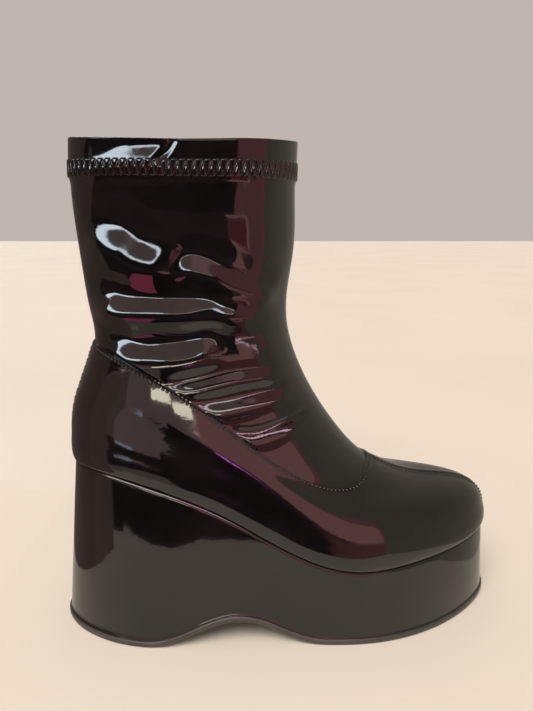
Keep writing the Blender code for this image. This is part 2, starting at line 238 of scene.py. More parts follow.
# Curves and surfaces shared with the solid model
def natural_spline(knots, values):
    """A natural cubic spline through the knots, straight beyond its ends. Values may be rows."""
    knots = np.asarray(knots, float)
    values = np.asarray(values, float).reshape(len(knots), -1)
    step = np.diff(knots)
    slope = np.diff(values, axis=0) / step[:, None]
    system = np.eye(len(knots))
    right = np.zeros_like(values)
    for i in range(1, len(knots) - 1):
        system[i, i - 1 : i + 2] = step[i - 1], 2 * (step[i - 1] + step[i]), step[i]
        right[i] = 6 * (slope[i] - slope[i - 1])
    bend = np.linalg.solve(system, right)

    def evaluate(at):
        at = np.atleast_1d(np.asarray(at, float))
        inside = np.clip(at, knots[0], knots[-1])
        i = np.clip(np.searchsorted(knots, inside) - 1, 0, len(step) - 1)
        left = (knots[i + 1] - inside)[:, None]
        passed = (inside - knots[i])[:, None]
        width = step[i][:, None]
        curve = (bend[i] * left**3 + bend[i + 1] * passed**3) / (6 * width)
        curve += (values[i] / width - bend[i] * width / 6) * left
        curve += (values[i + 1] / width - bend[i + 1] * width / 6) * passed
        first = slope[0] - step[0] * bend[1] / 6
        last = slope[-1] + step[-1] * bend[-2] / 6
        beyond = (at - inside)[:, None]
        return curve + np.where(beyond < 0, beyond * first, beyond * last)

    return evaluate


centre_spline = natural_spline(*zip(*CENTRE_LINE))
bed_spline = natural_spline(*zip(*FOOT_BED))
seam_spline = natural_spline(*zip(*QUARTER_SEAM))


def centre_y(x):
    return centre_spline(x)[:, 0]


def bed_z(x):
    return bed_spline(x)[:, 0]


def floor_z(x):
    """Underside of the sole: flat at heel and forefoot, raised at the arch and a little at the toe."""
    x = np.asarray(x, float)
    along_arch = np.clip((x - ARCH_BACK_X) / (ARCH_FRONT_X - ARCH_BACK_X), 0, 1)
    along_toe = np.clip((x - TOE_SPRING_START_X) / (SOLE_TOE_X - TOE_SPRING_START_X), 0, 1)
    return ARCH_RISE * np.sin(np.pi * along_arch) ** 2 + TOE_SPRING * along_toe**2


def inset(outline, by):
    return Outline(outline.back_x + by, outline.front_x - by, *(size - by for size in outline[2:]))


def mixed(first, second, share):
    return Outline(*(a + (b - a) * share for a, b in zip(first, second)))


def half_outline(outline):
    """(x, half-width) of an outline at many points from its front to its back."""
    length = outline.front_x - outline.back_x
    angle = np.linspace(0, np.pi, RING_SAMPLES)
    along = (1 + np.cos(angle)) / 2
    rounding = 2 * np.sqrt(WIDTH_STATIONS * (1 - WIDTH_STATIONS))
    widths = np.array([outline.heel, outline.waist, outline.ball, outline.toe]) / rounding
    ends = np.sqrt(np.array([outline.back_round, outline.front_round]) * length / 2)
    fullness = natural_spline([0, *WIDTH_STATIONS, 1], [ends[0], *widths, ends[1]])
    return outline.back_x + length * along, fullness(along)[:, 0] * np.sin(angle)


def girth_shares(columns):
    even = np.linspace(0, 1, columns // 2 + 1)
    return even + END_CROWDING * ((1 - np.cos(np.pi * even)) / 2 - even)


def closed_ring(x, half_width, z, columns):
    """A ring of columns points: front, outer side, back, inner side."""
    steps = np.sqrt(np.diff(x) ** 2 + np.diff(half_width) ** 2 + np.diff(z) ** 2)
    travelled = np.concatenate([[0], np.cumsum(steps)])
    at = girth_shares(columns) * travelled[-1]
    x, half_width, z = (np.interp(at, travelled, track) for track in (x, half_width, z))
    middle = centre_y(x)
    outer = np.column_stack([x, middle - half_width, z])
    inner = np.column_stack([x, middle + half_width, z])
    return np.concatenate([outer, inner[-2:0:-1]])


def plan_loop(outline, height_of_x, columns=SOLE_COLUMNS):
    x, half_width = half_outline(outline)
    return closed_ring(x, half_width, height_of_x(x), columns)


def section_heights():
    ends = np.array([
        [[s.outline.back_x, s.back_z], [s.outline.front_x, s.front_z]] for s in SECTIONS
    ])
    rise = np.linalg.norm(np.diff(ends, axis=0), axis=2).mean(axis=1)
    return np.concatenate([[0], np.cumsum(rise)])


HEIGHTS = section_heights()
COLLAR_HEIGHT = HEIGHTS[-1]
HEM_HEIGHT = HEIGHTS[-2]
last_spline = natural_spline(
    HEIGHTS, [[s.back_z, s.front_z, s.follow, *s.outline] for s in SECTIONS]
)


def last_ring(height, columns):
    back_z, front_z, follow, *sizes = last_spline(height)[0]
    outline = Outline(*sizes)
    x, half_width = half_outline(outline)
    along = (x - outline.back_x) / (outline.front_x - outline.back_x)
    bed = bed_z(x)
    bed_chord = bed[-1] + (bed[0] - bed[-1]) * along
    z = back_z + (front_z - back_z) * along + follow * (bed - bed_chord)
    dip = COLLAR_DIP * np.clip((height - HEM_HEIGHT) / (COLLAR_HEIGHT - HEM_HEIGHT), 0, 1)
    z = z - dip * np.sqrt(np.clip(4 * along * (1 - along), 0, 1))
    return closed_ring(x, half_width, z, columns)


class Last:
    """The last's surface on a grid of columns, read at any height up the wall."""

    def __init__(self, columns):
        self.columns = columns
        self.levels = np.linspace(0, COLLAR_HEIGHT, MASTER_LEVELS)
        self.points = np.array([last_ring(height, columns) for height in self.levels])
        around = np.roll(self.points, -1, axis=1) - np.roll(self.points, 1, axis=1)
        up = np.gradient(self.points, axis=0)
        normal = np.cross(up, around)
        self.normals = normal / np.linalg.norm(normal, axis=2, keepdims=True)

    def read(self, column, height):
        """Points and normals at whole or part columns and heights given as arrays of one shape."""
        row = np.clip(height / self.levels[1], 0, MASTER_LEVELS - 1.001)
        low = row.astype(int)
        first = np.floor(column).astype(int)
        up, on = (row - low)[..., None], (column - first)[..., None]
        a, b = first % self.columns, (first + 1) % self.columns
        found = []
        for table in (self.points, self.normals):
            under = table[low, a] * (1 - on) + table[low, b] * on
            over = table[low + 1, a] * (1 - on) + table[low + 1, b] * on
            found.append(under * (1 - up) + over * up)
        points, normals = found
        return points, normals / np.linalg.norm(normals, axis=-1, keepdims=True)

    def grid(self, heights):
        column = np.broadcast_to(np.arange(self.columns, dtype=float), heights.shape)
        return self.read(column, heights)


def seam_heights(columns):
    half = seam_spline(girth_shares(columns))[:, 0]
    return np.concatenate([half, half[-2:0:-1]])


def smooth(low, high, value):
    """0 below low, 1 above high, and a soft step between."""
    share = np.clip((value - low) / (high - low), 0, 1)
    return share * share * (3 - 2 * share)


def seam_ends(columns):
    """1 at the throat and heel ends of the quarters' top edge, 0 between."""
    share = girth_shares(columns)
    half = 1 - smooth(0.05, 0.20, share) * (1 - smooth(0.86, 0.97, share))
    return np.concatenate([half, half[-2:0:-1]])


# Folds
FOLD_SAMPLES = 26
RIDGE_ROUND = 0.22
FOOT_ROUND = 0.10


def tent(reach):
    """A fold's profile: straight sides, a rounded ridge of height 1 and a rounded foot at a reach of 1."""
    side = np.sqrt(reach**2 + RIDGE_ROUND**2) - RIDGE_ROUND
    height = 1 - side / (math.sqrt(1 + RIDGE_ROUND**2) - RIDGE_ROUND)
    return (height + np.sqrt(height**2 + FOOT_ROUND**2)) / 2


def fold_line(fold, surface):
    """A fold's path as points that lie on the last."""
    path = np.array(fold.path)
    chord = np.linalg.norm(np.diff(path, axis=0), axis=1)
    knots = np.concatenate([[0], np.cumsum(chord)])
    track = natural_spline(knots, path)(np.linspace(0, knots[-1], FOLD_SAMPLES))
    on_side = surface[np.sign(surface[:, 1] - centre_y(surface[:, 0])) == fold.side]
    away = ((on_side[:, None, [0, 2]] - track[None]) ** 2).sum(axis=2)
    return np.column_stack([track[:, 0], on_side[away.argmin(axis=0), 1], track[:, 1]])


def fold_rise(points):
    """How far each point moves out for all the folds together."""
    flat = points.reshape(-1, 3)
    move = np.zeros(len(flat))
    for fold, line in FOLD_LINES:
        low, high = line.min(axis=0) - 3 * fold.width, line.max(axis=0) + 3 * fold.width
        near = np.nonzero(((flat > low) & (flat < high)).all(axis=1))[0]
        if len(near) == 0:
            continue
        leg = np.diff(line, axis=0)
        offset = flat[near][:, None] - line[:-1][None]
        share = np.clip((offset * leg).sum(axis=2) / (leg**2).sum(axis=1), 0, 1)
        gap = np.linalg.norm(offset - share[..., None] * leg, axis=2)
        closest = gap.argmin(axis=1)
        rows = np.arange(len(near))
        along = (closest + share[rows, closest]) / len(leg)
        taper = smooth(0, fold.fade, along) * smooth(0, fold.fade, 1 - along)
        move[near] += fold.rise * taper * tent(gap[rows, closest] / fold.width)
    return move.reshape(points.shape[:-1])


# Mesh helpers
def grid_quads(rows, columns, wrap_rows=False, wrap_columns=True):
    row = np.arange(rows if wrap_rows else rows - 1)
    column = np.arange(columns if wrap_columns else columns - 1)
    row, column = np.meshgrid(row, column, indexing="ij")
    up, nxt = (row + 1) % rows, (column + 1) % columns
    corners = (row * columns + column, row * columns + nxt, up * columns + nxt, up * columns + column)
    return np.stack(corners, axis=-1).reshape(-1, 4)


def cap_quads(start, count):
    """Quads across a loop whose point i lies opposite point count - i. Its two tips repeat a corner."""
    i = np.arange(count // 2)
    far = start + (count - i) % count
    return np.stack([start + i, start + i + 1, start + count - i - 1, far], axis=-1)


def volume(points, quads):
    a, b, c, d = (points[quads[:, i]] for i in range(4))
    return (np.cross(a, b) * c).sum() + (np.cross(a, c) * d).sum()


def make_piece(name, points, quads, materials, slots=None):
    """A smooth-shaded closed mesh object in the boot's frame, riding on the boot."""
    points = np.asarray(points, float).reshape(-1, 3)
    if volume(points, quads) < 0:
        quads = quads[:, ::-1]
    faces = [list(dict.fromkeys(quad)) for quad in quads.tolist()]
    mesh = bpy.data.meshes.new(name)
    mesh.from_pydata(points.tolist(), [], faces)
    for finish in materials:
        mesh.materials.append(finish)
    if slots is not None:
        mesh.polygons.foreach_set("material_index", slots)
    mesh.shade_smooth()
    mesh.update()
    piece = bpy.data.objects.new(name, mesh)
    bpy.context.scene.collection.objects.link(piece)
    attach(piece, "root")
    return piece


def slab(name, loops, materials):
    """A piece through a pile of outline loops, closed at both ends."""
    count = len(loops[0])
    quads = np.concatenate([
        grid_quads(len(loops), count),
        cap_quads(0, count),
        cap_quads((len(loops) - 1) * count, count),
    ])
    return make_piece(name, np.concatenate(loops), quads, materials)


def resample(line, spacing, closed=False):
    """Shares of the way along a line of points, as fractional indices at even spacing."""
    line = np.concatenate([line, line[:1]]) if closed else line
    travelled = np.concatenate([[0], np.cumsum(np.linalg.norm(np.diff(line, axis=0), axis=1))])
    count = max(2, round(travelled[-1] / spacing))
    at = np.linspace(0, travelled[-1], count + 1)
    at = at[:-1] if closed else (at[:-1] + at[1:]) / 2
    return np.interp(at, travelled, np.arange(len(line)))


def pick(table, index):
    """Rows of a table at fractional indices."""
    low = np.floor(index).astype(int)
    part = (index - low)[:, None]
    return table[low % len(table)] * (1 - part) + table[(low + 1) % len(table)] * part


def unit(vectors):
    return vectors / np.linalg.norm(vectors, axis=-1, keepdims=True)


def stitches(name, centres, along, out, length, radii, finish):
    """One mesh of separate stitches: round threads that rise in the middle and dip at both ends."""
    rings, sides = 7, 8
    reach = np.linspace(-1, 1, rings)
    angle = np.linspace(0, 2 * np.pi, sides, endpoint=False)
    fat = np.sqrt(np.clip(1.02 - reach**4, 0.02, 1))
    lift = 0.75 - 0.75 * reach**2
    across = unit(np.cross(out, along))
    shape = np.zeros((rings, sides, 3))
    shape[..., 0] = (reach * length / 2)[:, None]
    shape[..., 1] = fat[:, None] * np.cos(angle)
    shape[..., 2] = lift[:, None] + fat[:, None] * np.sin(angle)
    axes = np.stack([unit(along), radii * across, radii * out], axis=1)
    points = centres[:, None, None] + np.einsum("rsk,nkd->nrsd", shape, axes)
    one = grid_quads(rings, sides)
    ends = np.array([[0, 1, 2, 3], [0, 3, 4, 5], [0, 5, 6, 7]])
    one = np.concatenate([one, ends[:, ::-1], ends + (rings - 1) * sides])
    quads = (np.arange(len(centres))[:, None, None] * rings * sides + one[None]).reshape(-1, 4)
    return make_piece(name, points, quads, [finish])


# Materials
def new_material(name):
    made = bpy.data.materials.new(name)
    made.use_nodes = True
    tree = made.node_tree
    return made, tree, tree.nodes["Principled BSDF"]


def node(tree, kind, **settings):
    made = tree.nodes.new(kind)
    for key, value in settings.items():
        setattr(made, key, value)
    return made


def place(tree):
    return node(tree, "ShaderNodeTexCoord").outputs["Object"]


def noise(tree, where, scale, detail=2.0, roughness=0.5):
    made = node(tree, "ShaderNodeTexNoise")
    made.inputs["Scale"].default_value = scale
    made.inputs["Detail"].default_value = detail
    made.inputs["Roughness"].default_value = roughness
    tree.links.new(where, made.inputs["Vector"])
    return made.outputs["Fac"]


def ramp(tree, value, *stops):
    """A colour ramp through (place, colour) stops."""
    made = node(tree, "ShaderNodeValToRGB")
    band = made.color_ramp.elements
    while len(band) < len(stops):
        band.new(0.5)
    for stop, (at, colour) in zip(band, stops):
        stop.position = at
        stop.color = (*colour, 1.0)
    tree.links.new(value, made.inputs["Fac"])
    return made.outputs["Color"]


def spread(tree, value, low, high):
    made = node(tree, "ShaderNodeMapRange")
    made.inputs["From Min"].default_value = 0.3
    made.inputs["From Max"].default_value = 0.7
    made.inputs["To Min"].default_value = low
    made.inputs["To Max"].default_value = high
    tree.links.new(value, made.inputs["Value"])
    return made.outputs["Result"]


def bump(tree, height, distance, strength, below=None):
    made = node(tree, "ShaderNodeBump")
    made.inputs["Distance"].default_value = distance
    made.inputs["Strength"].default_value = strength
    tree.links.new(height, made.inputs["Height"])
    if below is not None:
        tree.links.new(below, made.inputs["Normal"])
    return made.outputs["Normal"]


def patent(name, peel_scale, peel_depth):
    """Black patent: a clear gloss coat over a faintly warm black, with slight orange peel and smears."""
    made, tree, shader = new_material(name)
    where = place(tree)
    tone = noise(tree, where, 35.0, 3.0)
    colour = ramp(tree, tone, (0.35, (0.0035, 0.0028, 0.0030)), (0.70, (0.0080, 0.0058, 0.0062)))
    tree.links.new(colour, shader.inputs["Base Color"])
    smear = noise(tree, where, 90.0, 5.0, 0.65)
    tree.links.new(spread(tree, smear, 0.05, 0.11), shader.inputs["Roughness"])
    peel = noise(tree, where, peel_scale, 2.0)
    tree.links.new(bump(tree, peel, peel_depth, 0.35), shader.inputs["Normal"])
    tree.links.new(bump(tree, peel, peel_depth, 0.35), shader.inputs["Coat Normal"])
    shader.inputs["IOR"].default_value = 1.5
    shader.inputs["Coat Weight"].default_value = 0.6
    shader.inputs["Coat Roughness"].default_value = 0.03
    return made


def woven(name, dark, light, scale):
    """Close-woven lining cloth."""
    made, tree, shader = new_material(name)
    where = place(tree)
    weave = node(tree, "ShaderNodeTexVoronoi", feature="F1")
    weave.inputs["Scale"].default_value = scale
    tree.links.new(where, weave.inputs["Vector"])
    mottle = noise(tree, where, scale / 12, 4.0)
    tree.links.new(ramp(tree, mottle, (0.3, dark), (0.75, light)), shader.inputs["Base Color"])
    tree.links.new(bump(tree, weave.outputs["Distance"], 0.0004, 0.6), shader.inputs["Normal"])
    shader.inputs["Roughness"].default_value = 0.85
    shader.inputs["Sheen Weight"].default_value = 0.3
    return made


def rubber(name):
    """Satin sole rubber with fine moulding grain and dusty wear."""
    made, tree, shader = new_material(name)
    where = place(tree)
    wear = noise(tree, where, 60.0, 6.0, 0.7)
    tree.links.new(
        ramp(tree, wear, (0.35, (0.032, 0.030, 0.027)), (0.72, (0.062, 0.057, 0.050))),
        shader.inputs["Base Color"],
    )
    tree.links.new(spread(tree, wear, 0.36, 0.50), shader.inputs["Roughness"])
    grain = noise(tree, where, 900.0, 2.0)
    tree.links.new(bump(tree, grain, 0.0002, 0.4), shader.inputs["Normal"])
    shader.inputs["Coat Weight"].default_value = 0.4
    shader.inputs["Coat Roughness"].default_value = 0.2
    return made


def thread(name):
    """Black sewing thread with a twist that catches the light."""
    made, tree, shader = new_material(name)
    where = place(tree)
    twist = noise(tree, where, 1600.0, 2.0)
    tree.links.new(
        ramp(tree, twist, (0.35, (0.003, 0.003, 0.003)), (0.75, (0.018, 0.016, 0.016))),
        shader.inputs["Base Color"],
    )
    tree.links.new(bump(tree, twist, 0.0001, 0.3), shader.inputs["Normal"])
    shader.inputs["Roughness"].default_value = 0.16
    shader.inputs["Coat Weight"].default_value = 0.6
    return made


STRETCH = patent("stretch_patent", 420.0, 0.00006)
PATENT = patent("patent", 240.0, 0.00008)
COVER = patent("wedge_cover", 160.0, 0.00009)
LINING = woven("lining", (0.006, 0.006, 0.006), (0.018, 0.017, 0.017), 1500.0)
SOCK = woven("sock_lining", (0.012, 0.011, 0.011), (0.035, 0.032, 0.031), 1100.0)
RUBBER = rubber("rubber")
THREAD = thread("thread")

last = Last(UPPER_COLUMNS)
FOLD_LINES = [(fold, fold_line(fold, last.points[::2, ::2].reshape(-1, 3))) for fold in FOLDS]
ZIGZAG_TOP = COLLAR_HEIGHT - HEM_FOLD
ZIGZAG_BOTTOM = ZIGZAG_TOP - ZIGZAG_HEIGHT


def hem_proud(height):
    """The hem is two layers thick, so it stands out from just under its stitching to the collar."""
    return HEM_STEP * smooth(ZIGZAG_BOTTOM - 0.0045, ZIGZAG_BOTTOM + 0.001, height)


def upper_heights(seam):
    """Rows up the outside: few behind the quarters, many over the folds, fine ones at the hem."""
    hidden = seam - 0.008
    hem = ZIGZAG_BOTTOM - 0.006
    low = np.linspace(0, 1, 8)[:-1, None] * hidden
    middle = hidden + np.linspace(0, 1, 184)[:, None] * (hem - hidden)
    top = np.linspace(hem, COLLAR_HEIGHT - COLLAR_ROUND, 30)[1:, None] + np.zeros(UPPER_COLUMNS)
    return np.concatenate([low, middle, top])


def upper_folds(points, heights, seam):
    """The folds die out where the upper goes under the quarters."""
    return fold_rise(points) * smooth(0.0005, 0.0045, heights - seam)


def collar_rim():
    """Rounded edge from the outside of the hem over to the lining."""
    points, normals = last.grid(np.full((1, UPPER_COLUMNS), COLLAR_HEIGHT - COLLAR_ROUND))
    middle_wall = (HEM_STEP - UPPER_WALL) / 2
    half_wall = (HEM_STEP + UPPER_WALL) / 2
    rim = []
    for turn in np.linspace(0, np.pi, 8)[1:-1]:
        out = normals[0] * (middle_wall + half_wall * np.cos(turn))
        rim.append(points[0] + out + np.array([0, 0, COLLAR_ROUND * np.sin(turn)]))
    return np.array(rim)


def upper_lining(seam):
    """Inner face of the wall, from the collar down to a level foot at the feather edge."""
    heights = np.linspace(COLLAR_HEIGHT - COLLAR_ROUND, 0, 48)[:, None] + np.zeros(UPPER_COLUMNS)
    points, normals = last.grid(heights)
    level = unit(normals * np.where(heights[..., None] > 0, 1, [1, 1, 0]))
    return points + (upper_folds(points, heights, seam) - UPPER_WALL)[..., None] * level


def build_upper():
    """Shaft and foot in one shell: creased outside, folded hem, rounded collar and cloth lining."""
    seam = seam_heights(UPPER_COLUMNS)
    heights = upper_heights(seam)
    points, normals = last.grid(heights)
    out = hem_proud(heights) + upper_folds(points, heights, seam)
    outside = points + out[..., None] * normals
    rings = np.concatenate([outside, collar_rim(), upper_lining(seam)])
    quads = grid_quads(len(rings), UPPER_COLUMNS, wrap_rows=True)
    slots = np.zeros((len(rings), UPPER_COLUMNS), int)
    slots[len(outside) + 3:] = 1
    piece = make_piece("upper", rings, quads, [STRETCH, LINING], slots.ravel())
    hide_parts("upper")


def rounded_wave(turn):
    """A zigzag with round corners that goes from 1 to 0 and back in each turn."""
    return 0.5 + np.arcsin(0.93 * np.cos(2 * np.pi * turn)) / (2 * np.arcsin(0.93))


def zigzag_columns():
    """Columns of the last one zigzag period apart round the hem, with the first again at the end."""
    ring = last.read(np.arange(UPPER_COLUMNS, dtype=float), np.full(UPPER_COLUMNS, ZIGZAG_TOP))[0]
    return np.append(resample(ring, ZIGZAG_PERIOD, closed=True), UPPER_COLUMNS)


def build_seam_band(columns):
    """The hem under its zigzag seam: small pillows between the legs of the stitching."""
    turns, fine, margin, soft_edge = len(columns) - 1, 9, 0.0016, 0.0014
    turn = np.arange(turns * fine) / fine
    column = np.interp(turn, np.arange(turns + 1), columns)
    heights = np.linspace(ZIGZAG_BOTTOM - margin, ZIGZAG_TOP + margin, 30)
    column_grid, height_grid = np.meshgrid(column, heights)
    points, normals = last.read(column_grid, height_grid)
    across = np.clip((height_grid - ZIGZAG_BOTTOM) / ZIGZAG_HEIGHT, 0, 1)
    leg = rounded_wave(np.meshgrid(turn % 1.0, heights)[0])
    from_leg = np.abs(leg - across) * ZIGZAG_PERIOD / 2
    pillow = 0.00075 * (1 - np.exp(-((from_leg / 0.00055) ** 2)))
    edge = smooth(0, soft_edge, height_grid - heights[0]) * smooth(0, soft_edge, heights[-1] - height_grid)
    folds = fold_rise(points)
    out = hem_proud(height_grid) + folds - 0.00025 + edge * (0.00010 + pillow)
    outside = points + out[..., None] * normals
    inside = (points + (folds - 0.0008)[..., None] * normals)[[-1, 0]]
    rings = np.concatenate([outside, inside])
    quads = grid_quads(len(rings), len(column), wrap_rows=True)
    make_piece("hem_seam_band", rings, quads, [STRETCH])


def build_hem_thread(columns):
    """The zigzag thread itself, a thin tube round the hem."""
    turns, steps, sides = len(columns) - 1, 7, 7
    turn = np.arange(turns * 2 * steps) / (2 * steps)
    leg = rounded_wave(turn)
    height = ZIGZAG_BOTTOM + leg * ZIGZAG_HEIGHT
    points, normals = last.read(np.interp(turn, np.arange(turns + 1), columns), height)
    rise = 0.00006 + 0.00018 * np.sin(np.pi * leg) ** 0.5
    centre = points + (hem_proud(height) + fold_rise(points) + rise)[:, None] * normals
    along = unit(np.roll(centre, -1, axis=0) - np.roll(centre, 1, axis=0))
    across = unit(np.cross(normals, along))
    up = np.cross(along, across)
    angle = np.linspace(0, 2 * np.pi, sides, endpoint=False)[None, :, None]
    tube = centre[:, None] + ZIGZAG_THREAD * (np.cos(angle) * across[:, None] + np.sin(angle) * up[:, None])
    quads = grid_quads(len(tube), sides, wrap_rows=True)
    make_piece("hem_thread", tube, quads, [THREAD])


def quarter_outside(heights, seam, ends):
    """How far a quarter's outer face lies off the last: full thickness, rolled over at its top edge.

    Towards the throat and the heel, where ends is 1, the edge is pared thin.
    """
    roll, pared_depth, pared_share = 0.0007, 0.0060, 0.60
    share = np.clip((seam - heights) / roll, 0, 1)
    edge = np.sqrt(np.clip(1 - (1 - share) ** 2, 0, 1))
    edge = edge * (1 - pared_share * ends * (1 - smooth(0, pared_depth, seam - heights)))
    flare = 0.0021 * (1 - smooth(0.0015, 0.0150, heights))
    tuck = 0.0024 * (1 - smooth(0, 0.0022, heights))
    return QUARTER_BACK + (JOIN_GAP + QUARTER_THICKNESS - QUARTER_BACK) * edge + (flare - tuck)


def quarter_faces(surface, seam):
    """Outer and inner faces of both quarters, with a valley between two soft ridges at toe and heel."""
    half = QUARTER_COLUMNS // 2
    shares = np.concatenate([np.linspace(0, 0.9, 84), np.linspace(0.9, 1.0, 34)[1:]])
    heights = shares[:, None] * seam
    points, normals = surface.grid(heights)
    out = quarter_outside(heights, seam, seam_ends(QUARTER_COLUMNS))
    for column in (0, half):
        distance = np.linalg.norm(points - points[:, column:column + 1], axis=2)
        out -= 0.00080 * np.exp(-((distance / 0.0006) ** 2))
        out += 0.00030 * np.exp(-(((distance - 0.0022) / 0.0014) ** 2))
    level = normals.copy()
    level[0, :, 2] = 0
    level = unit(level)
    return points + out[..., None] * level, points + QUARTER_BACK * level


def end_quads(front_rows, rows, count, column):
    """Quads that close a quarter's end at one column, between its fine front and its coarse back."""
    ladder = np.arange(front_rows)
    back = np.interp(ladder, [0, front_rows - 1], [rows - front_rows - 1, 0])
    back = front_rows + np.round(back).astype(int)
    strip = np.stack([ladder[:-1], ladder[1:], back[1:], back[:-1]], axis=1) * count + column
    return strip if column == 0 else strip[:, ::-1]


def build_quarter(name, side, front, back):
    """One lower panel: its front face, its back face and the closed ends at the toe and heel seams."""
    coarse = back[::-6]
    coarse = np.concatenate([coarse, back[:1]]) if (len(back) - 1) % 6 else coarse
    loops = np.concatenate([front, coarse])
    for edge in (0, -1):
        loops[:, edge, 1] = centre_y(loops[:, edge, 0]) + side * JOIN_GAP / 4
    rows, count = loops.shape[:2]
    quads = [grid_quads(rows, count, wrap_rows=True, wrap_columns=False)]
    for column in (0, count - 1):
        quads.append(end_quads(len(front), rows, count, column))
    piece = make_piece(name, loops, np.concatenate(quads), [PATENT])
    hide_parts(name)


def build_quarters(surface, seam):
    """Both lower panels, meeting at a seam down the toe and a seam down the heel."""
    half = QUARTER_COLUMNS // 2
    front, back = quarter_faces(surface, seam)
    outer = np.arange(half + 1)
    inner = np.arange(QUARTER_COLUMNS, half - 1, -1) % QUARTER_COLUMNS
    build_quarter("quarter_outer", OUTER, front[:, outer], back[:, outer])
    build_quarter("quarter_inner", INNER, front[:, inner], back[:, inner])


def sew(name, line, out, length, radius, slant=0.0):
    """A row of stitches along a line of points. A slant lays them across it, left and right by turns.

    The radius is one size for the whole row, or one for each point of the line.
    """
    at = resample(line, STITCH_PITCH)
    radii = pick(np.broadcast_to(radius, (1, len(line))).T, at)
    out = unit(pick(out, at))
    along = unit(pick(unit(np.gradient(line, axis=0)), at))
    if slant:
        lean = np.where(np.arange(len(at)) % 2 == 0, slant, -slant)[:, None]
        along = unit(unit(np.cross(out, along)) + lean * along)
    piece = stitches(name, pick(line, at), along, out, length, radii, THREAD)


def sew_top_edge(name, surface, seam, columns):
    """Stitches along a quarter's top edge, finer at the throat and heel."""
    top = np.interp(columns, np.arange(QUARTER_COLUMNS), seam)
    ends = np.interp(columns, np.arange(QUARTER_COLUMNS), seam_ends(QUARTER_COLUMNS))
    points, out = surface.read(columns, top - STITCH_MARGIN)
    line = points + quarter_outside(top - STITCH_MARGIN, top, ends)[:, None] * out
    sew(name, line, out, STITCH_LENGTH, STITCH_RADIUS * (1 - 0.62 * ends))


def build_stitching(surface, seam):
    half = QUARTER_COLUMNS // 2
    sew_top_edge("seam_stitches_outer", surface, seam, np.linspace(1.5, half - 1.5, 400))
    sew_top_edge("seam_stitches_inner", surface, seam, np.linspace(half + 1.5, QUARTER_COLUMNS - 1.5, 400))
    face = JOIN_GAP + QUARTER_THICKNESS

    points, out = surface.read(np.full(200, 4.0), np.linspace(0.001, seam[0] - 0.0022, 200))
    line = points + (face + 0.00020) * out
    sew("toe_seam_stitches", line, out, 0.7 * STITCH_LENGTH, 0.5 * STITCH_RADIUS)

    points, out = surface.read(np.full(200, float(half)), np.linspace(0.004, seam[half] - 0.0070, 200))
    line = points + (face + 0.00015) * out
    sew("heel_seam_stitches", line, out, HEEL_STITCH_LENGTH, 0.85 * STITCH_RADIUS, slant=0.45)


def build_wedge():
    """Covered wedge and platform with leaning walls and a soft top edge."""
    base = inset(SOLE_OUTLINE, OUTSOLE_LIP)
    loops = []
    for share in np.linspace(0, 1, 26):
        def wall_z(x, share=share):
            low = floor_z(x) + OUTSOLE_THICKNESS + JOIN_GAP / 3
            return low + share * (bed_z(x) - WEDGE_EDGE_ROUND - low)

        loops.append(plan_loop(mixed(base, WEDGE_TOP_OUTLINE, share), wall_z))
    for turn in np.linspace(0, np.pi / 2, 9)[1:]:
        drawn_in = WEDGE_EDGE_ROUND * (1 - np.cos(turn))
        drop = WEDGE_EDGE_ROUND * (1 - np.sin(turn))
        loops.append(plan_loop(inset(WEDGE_TOP_OUTLINE, drawn_in), lambda x, drop=drop: bed_z(x) - drop))
    piece = slab("wedge", loops, [COVER])
    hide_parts("wedge")


def build_outsole():
    """Thin floor unit with a rounded lip round the wedge."""
    edge = OUTSOLE_THICKNESS / 4
    levels = []
    for turn in np.linspace(0, np.pi / 2, 5):
        levels.append((edge * (1 - np.sin(turn)), edge * (1 - np.cos(turn))))
    for turn in np.linspace(0, np.pi / 2, 5):
        levels.append((edge * (1 - np.cos(turn)), OUTSOLE_THICKNESS - edge * (1 - np.sin(turn))))
    levels.append((OUTSOLE_LIP * 2.5, OUTSOLE_THICKNESS))
    loops = [
        plan_loop(inset(SOLE_OUTLINE, drawn_in), lambda x, rise=rise: floor_z(x) + rise)
        for drawn_in, rise in levels
    ]
    piece = slab("outsole", loops, [RUBBER])
    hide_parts("outsole")


def build_insole():
    """Cloth sock on a thin board, its edge turned down."""
    inside = inset(SECTIONS[0].outline, UPPER_WALL + JOIN_GAP)
    edge = 0.0009
    levels = [(0.0, JOIN_GAP)]
    for turn in np.linspace(0, np.pi / 2, 5):
        levels.append((edge * (1 - np.cos(turn)), JOIN_GAP + INSOLE_THICKNESS - edge * (1 - np.sin(turn))))
    loops = [
        plan_loop(inset(inside, drawn_in), lambda x, rise=rise: bed_z(x) + rise)
        for drawn_in, rise in levels
    ]
    piece = slab("insole", loops, [SOCK])
    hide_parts("insole")


# Stage, light and camera
def link(piece):
    bpy.context.scene.collection.objects.link(piece)
    return piece


def plane(name, corners, finish):
    mesh = bpy.data.meshes.new(name)
    mesh.from_pydata(corners, [], [(0, 1, 2, 3)])
    mesh.materials.append(finish)
    made = link(bpy.data.objects.new(name, mesh))
    return made


def build_floor():
    """A wide pale floor. The gloss sees the small floor cards in its place."""
    made, tree, shader = new_material("floor")
    shade = noise(tree, place(tree), 3.0, 3.0)
    colour = ramp(tree, shade, (0.3, (0.72, 0.66, 0.57)), (0.7, (0.76, 0.70, 0.61)))
    tree.links.new(colour, shader.inputs["Base Color"])
    shader.inputs["Roughness"].default_value = 0.7
    reach, drop = 8.0, -0.0001
    corners = [(-reach, -reach, drop), (reach, -reach, drop), (reach, reach, drop), (-reach, reach, drop)]
    plane("floor", corners, made).visible_glossy = False


